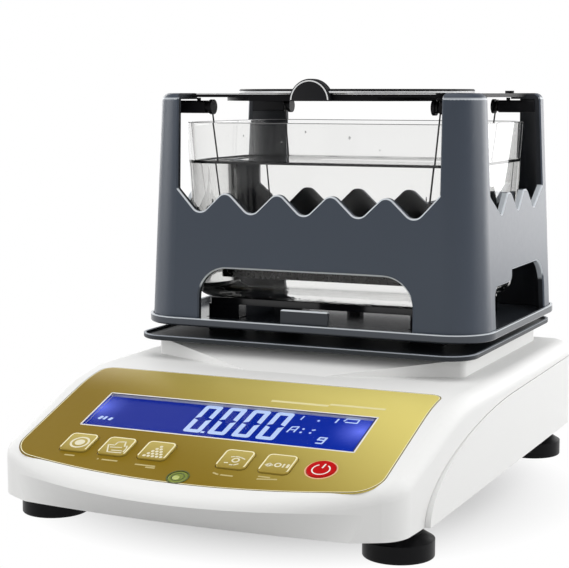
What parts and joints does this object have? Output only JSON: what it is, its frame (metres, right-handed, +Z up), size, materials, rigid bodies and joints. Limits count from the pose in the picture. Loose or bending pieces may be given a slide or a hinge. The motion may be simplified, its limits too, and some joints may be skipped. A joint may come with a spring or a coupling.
{
  "type": "electronic gold tester",
  "caption": "Bench balance with a sloping key console, a wave-edged cage over a clear water tank, a top tray and levelling feet, for weighing metal in air and in water.",
  "frame": {"origin": "centre of the bounding box at the underside of the feet", "axes": "+Z up; the console and keys face -Y; +Y runs to the rear wall; +X is the user's right"},
  "size_m": [0.196, 0.2813, 0.1952],
  "materials": {
    "shell_white": "smooth satin gloss",
    "overlay_gold": "satin metallic film",
    "lens_clear": "clear, glossy",
    "lcd_blue": "backlit",
    "key_gold": "satin",
    "key_red": "glossy",
    "board_green": "matte laminate",
    "level_green": "clear, glossy",
    "battery_grey": "matte",
    "cell_aluminium": "milled",
    "screw_steel": "plated",
    "black_plastic": "satin gloss",
    "rubber_black": "moulded, matte",
    "plate_grey": "powder coat",
    "cage_slate": "satin",
    "tank_clear": "clear acrylic",
    "basket_steel": "polished stainless steel",
    "wire_black": "blackened"
  },
  "bodies": {
    "base": {"top_cover": "shell_white", "bottom_shell": "shell_white", "housing_screws": "screw_steel", "panel_overlay": "overlay_gold", "display_window": "lens_clear", "lcd_module": "lcd_blue", "key_board": "board_green", "key_switches": "black_plastic", "level_vial": "level_green", "level_cup": "black_plastic", "main_board": "board_green", "battery_pack": "battery_grey", "load_cell": "cell_aluminium", "load_cell_base": "cell_aluminium", "load_cell_screws": "screw_steel", "power_socket": "black_plastic", "serial_port": "screw_steel", "foot_nuts": "screw_steel", "deck_plate": "plate_grey", "deck_screws": "screw_steel", "tank_table": "black_plastic"},
    "tank": {"tank": "tank_clear"},
    "carrier": {"carrier_post": "cell_aluminium", "carrier_plate": "plate_grey", "hub_screw": "black_plastic", "plate_lug": "black_plastic"},
    "cage": {"cage": "cage_slate", "rest_pins": "black_plastic", "hook_arm_front_left": "black_plastic", "hook_arm_rear_left": "black_plastic", "hook_arm_front_right": "black_plastic", "hook_arm_rear_right": "black_plastic", "basket": "basket_steel", "basket_wires": "wire_black"},
    "tray": {"top_tray": "black_plastic", "tray_caps": "black_plastic"},
    "key_set": {"key_set": "key_gold"},
    "key_print": {"key_print": "key_gold"},
    "key_count": {"key_count": "key_gold"},
    "key_mode": {"key_mode": "key_gold"},
    "key_zero": {"key_zero": "key_gold"},
    "key_power": {"key_power": "key_red"},
    "stud_fl": {"foot_stud_fl": "screw_steel"},
    "foot_fl": {"foot_pad_fl": "rubber_black"},
    "stud_fr": {"foot_stud_fr": "screw_steel"},
    "foot_fr": {"foot_pad_fr": "rubber_black"},
    "stud_rl": {"foot_stud_rl": "screw_steel"},
    "foot_rl": {"foot_pad_rl": "rubber_black"},
    "stud_rr": {"foot_stud_rr": "screw_steel"},
    "foot_rr": {"foot_pad_rr": "rubber_black"}
  },
  "joints": [
    {"name": "weigh", "type": "slide", "parent": "base", "child": "carrier", "axis": [0, 0, 1], "range_m": [-0.0003, 0], "stiffness_N_per_m": 30000, "springref_m": 0.0006},
    {"name": "cage_lift", "type": "slide", "parent": "carrier", "child": "cage", "axis": [0, 0, 1], "range_m": [0, 0.12]},
    {"name": "tray_lift", "type": "slide", "parent": "cage", "child": "tray", "axis": [0, 0, 1], "range_m": [0, 0.05]},
    {"name": "tank_lift", "type": "slide", "parent": "base", "child": "tank", "axis": [0, 0, 1], "range_m": [0, 0.003]},
    {"name": "key_set_press", "type": "slide", "parent": "base", "child": "key_set", "axis": [0, 0.319, -0.9478], "range_m": [0, 0.0006], "stiffness_N_per_m": 1500},
    {"name": "key_print_press", "type": "slide", "parent": "base", "child": "key_print", "axis": [0, 0.319, -0.9478], "range_m": [0, 0.0006], "stiffness_N_per_m": 1500},
    {"name": "key_count_press", "type": "slide", "parent": "base", "child": "key_count", "axis": [0, 0.319, -0.9478], "range_m": [0, 0.0006], "stiffness_N_per_m": 1500},
    {"name": "key_mode_press", "type": "slide", "parent": "base", "child": "key_mode", "axis": [0, 0.319, -0.9478], "range_m": [0, 0.0006], "stiffness_N_per_m": 1500},
    {"name": "key_zero_press", "type": "slide", "parent": "base", "child": "key_zero", "axis": [0, 0.319, -0.9478], "range_m": [0, 0.0006], "stiffness_N_per_m": 1500},
    {"name": "key_power_press", "type": "slide", "parent": "base", "child": "key_power", "axis": [0, 0.319, -0.9478], "range_m": [0, 0.0006], "stiffness_N_per_m": 1500},
    {"name": "foot_fl_extend", "type": "slide", "parent": "base", "child": "stud_fl", "axis": [0, 0, -1], "range_m": [0, 0.005]},
    {"name": "foot_fl_turn", "type": "hinge", "parent": "stud_fl", "child": "foot_fl", "pos_m": [-0.083, -0.089, 0.005], "axis": [0, 0, 1], "range_deg": [0, 1800]},
    {"name": "foot_fr_extend", "type": "slide", "parent": "base", "child": "stud_fr", "axis": [0, 0, -1], "range_m": [0, 0.005]},
    {"name": "foot_fr_turn", "type": "hinge", "parent": "stud_fr", "child": "foot_fr", "pos_m": [0.083, -0.089, 0.005], "axis": [0, 0, 1], "range_deg": [0, 1800]},
    {"name": "foot_rl_extend", "type": "slide", "parent": "base", "child": "stud_rl", "axis": [0, 0, -1], "range_m": [0, 0.005]},
    {"name": "foot_rl_turn", "type": "hinge", "parent": "stud_rl", "child": "foot_rl", "pos_m": [-0.083, 0.111, 0.005], "axis": [0, 0, 1], "range_deg": [0, 1800]},
    {"name": "foot_rr_extend", "type": "slide", "parent": "base", "child": "stud_rr", "axis": [0, 0, -1], "range_m": [0, 0.005]},
    {"name": "foot_rr_turn", "type": "hinge", "parent": "stud_rr", "child": "foot_rr", "pos_m": [0.083, 0.111, 0.005], "axis": [0, 0, 1], "range_deg": [0, 1800]}
  ],
  "couplings": [
    {"joint": "foot_fl_extend", "follows": "foot_fl_turn", "m_per_rad": 0.00015915},
    {"joint": "foot_fr_extend", "follows": "foot_fr_turn", "m_per_rad": 0.00015915},
    {"joint": "foot_rl_extend", "follows": "foot_rl_turn", "m_per_rad": 0.00015915},
    {"joint": "foot_rr_extend", "follows": "foot_rr_turn", "m_per_rad": 0.00015915}
  ]
}
